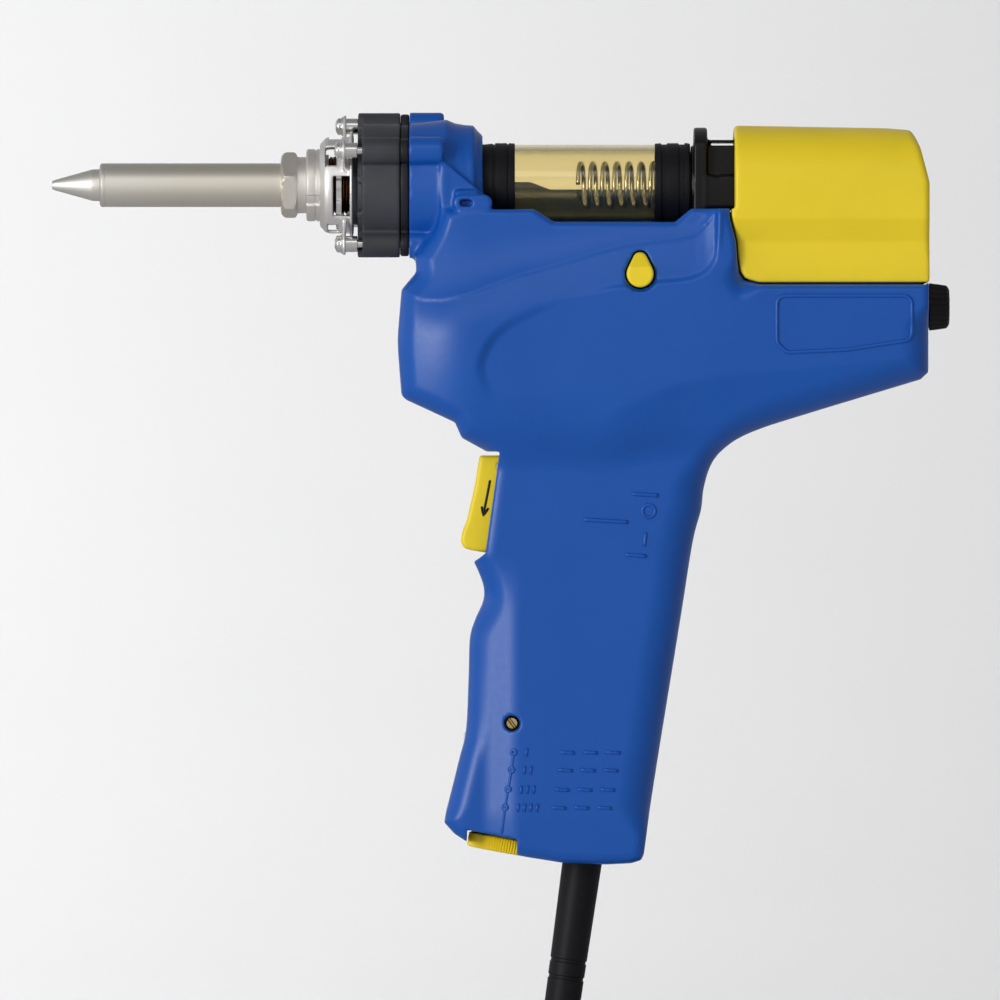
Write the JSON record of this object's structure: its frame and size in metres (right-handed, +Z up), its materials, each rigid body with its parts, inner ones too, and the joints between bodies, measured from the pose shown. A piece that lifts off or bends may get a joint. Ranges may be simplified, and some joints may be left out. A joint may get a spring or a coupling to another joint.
{
  "type": "desoldering gun",
  "caption": "Pistol-shaped electric desoldering gun: hollow heated nozzle, clear solder filter, built-in vacuum pump, trigger handle and coiled mains lead.",
  "frame": {"origin": "middle of the handle, where a hand holds it", "axes": "-X along the nozzle, towards its tip; +Z up; the gun's left side faces -Y"},
  "size_m": [0.2136, 0.0508, 0.3173],
  "materials": {
    "blue_plastic": "satin moulded",
    "yellow_plastic": "satin moulded",
    "black_plastic": "satin moulded",
    "phenolic": "moulded thermoset",
    "stainless": "brushed",
    "bright_steel": "polished",
    "clear_amber": "clear tinted",
    "windings": "lacquered wire",
    "rubber_black": "matte",
    "silicone": "matte",
    "filter_felt": "pressed fibre",
    "white_nylon": "moulded",
    "motor_steel": "zinc plated",
    "copper_core": "lacquered",
    "brass": "satin",
    "lens_clear": "clear",
    "circuit_board": "solder mask",
    "screw_black": "black oxide"
  },
  "bodies": {
    "gun": {"nozzle": "stainless", "heater_pipe": "stainless", "pipe_nut": "stainless", "heater_bush": "stainless", "heater_cage": "stainless", "heat_baffle": "stainless", "heating_element": "windings", "suction_pipe": "stainless", "cage_screws": "bright_steel", "cage_spacers": "bright_steel", "insulator_block": "phenolic", "insulator_plate": "phenolic", "housing_left": "blue_plastic", "housing_right": "blue_plastic", "housing_screws": "screw_black", "nose_seal": "silicone", "slide_spring": "bright_steel", "slide_guide": "black_plastic", "vacuum_hose": "rubber_black", "motor_can": "motor_steel", "motor_bearings": "bright_steel", "motor_end_bell": "motor_steel", "pump_frame": "black_plastic", "diaphragm": "rubber_black", "pump_head": "black_plastic", "pump_screws": "bright_steel", "trigger_pin": "bright_steel", "trigger_spring": "bright_steel", "vacuum_switch": "black_plastic", "button_spring": "bright_steel", "power_switch": "black_plastic", "dial_pot": "motor_steel", "lamp_lens": "lens_clear", "control_board": "circuit_board", "strain_relief": "rubber_black", "power_cord": "rubber_black", "cord_coil": "rubber_black", "cord_tail": "rubber_black", "cord_tie": "black_plastic", "power_plug": "rubber_black", "plug_pins": "brass"},
    "cartridge": {"filter_front_cap": "rubber_black", "filter_tube": "clear_amber", "filter_rear_cap": "rubber_black", "solder_trap_coil": "bright_steel", "filter_pad": "filter_felt"},
    "filter_release": {"release_slide": "black_plastic"},
    "cover": {"rear_cover": "yellow_plastic"},
    "cover_lock": {"cover_knob": "black_plastic", "latch_cam": "bright_steel"},
    "crank": {"motor_rotor": "copper_core", "motor_shaft": "bright_steel", "eccentric": "brass"},
    "rod": {"connecting_rod": "white_nylon"},
    "trigger": {"trigger": "yellow_plastic"},
    "plunger": {"switch_plunger": "white_nylon"},
    "button": {"release_button": "yellow_plastic"},
    "rocker": {"power_rocker": "black_plastic"},
    "dial": {"temperature_dial": "yellow_plastic"},
    "trimmer": {"trimmer_rotor": "brass"}
  },
  "joints": [
    {"name": "filter_release_slide", "type": "slide", "parent": "gun", "child": "filter_release", "axis": [1, 0, 0], "range_m": [0, 0.006], "stiffness_N_per_m": 300, "springref_m": -0.004, "deforming": ["slide_spring"]},
    {"name": "cartridge_lift", "type": "slide", "parent": "gun", "child": "cartridge", "axis": [0, 0, 1], "range_m": [0, 0.03]},
    {"name": "cover_lift", "type": "slide", "parent": "gun", "child": "cover", "axis": [0, 0, 1], "range_m": [0, 0.045]},
    {"name": "knob_turn", "type": "hinge", "parent": "gun", "child": "cover_lock", "pos_m": [0.0816, 0, 0.0793], "axis": [1, 0, 0], "range_deg": [0, 90]},
    {"name": "crank_spin", "type": "hinge", "parent": "gun", "child": "crank", "pos_m": [0, 0, 0.07], "axis": [1, 0, 0], "continuous": true},
    {"name": "rod_pivot", "type": "hinge", "parent": "crank", "child": "rod", "pos_m": [0.014, 0, 0.0715], "axis": [1, 0, 0], "continuous": true},
    {"name": "trigger_pull", "type": "hinge", "parent": "gun", "child": "trigger", "pos_m": [-0.0198, 0, 0.0412], "axis": [0, -1, 0], "range_deg": [0, 6], "stiffness_Nm_per_rad": 0.3, "springref_deg": -5.73, "deforming": ["trigger_spring"]},
    {"name": "plunger_slide", "type": "slide", "parent": "gun", "child": "plunger", "axis": [1, 0, 0], "range_m": [0, 0.0012]},
    {"name": "button_press", "type": "slide", "parent": "gun", "child": "button", "axis": [0, 1, 0], "range_m": [0, 0.002], "stiffness_N_per_m": 300, "springref_m": -0.002, "deforming": ["button_spring"]},
    {"name": "power_rock", "type": "hinge", "parent": "gun", "child": "rocker", "pos_m": [0.0215, 0, 0.032], "axis": [0, -1, 0], "range_deg": [0, 12]},
    {"name": "dial_turn", "type": "hinge", "parent": "gun", "child": "dial", "pos_m": [-0.018, 0, -0.0489], "axis": [0.1736, 0, 0.9848], "range_deg": [-135, 135]},
    {"name": "trimmer_turn", "type": "hinge", "parent": "gun", "child": "trimmer", "pos_m": [-0.0174, 0, -0.0196], "axis": [0, 1, 0], "range_deg": [-120, 120]}
  ],
  "couplings": [
    {"joint": "rod_pivot", "follows": "crank_spin", "ratio": -1},
    {"joint": "plunger_slide", "follows": "trigger_pull", "m_per_rad": 0.0102}
  ]
}
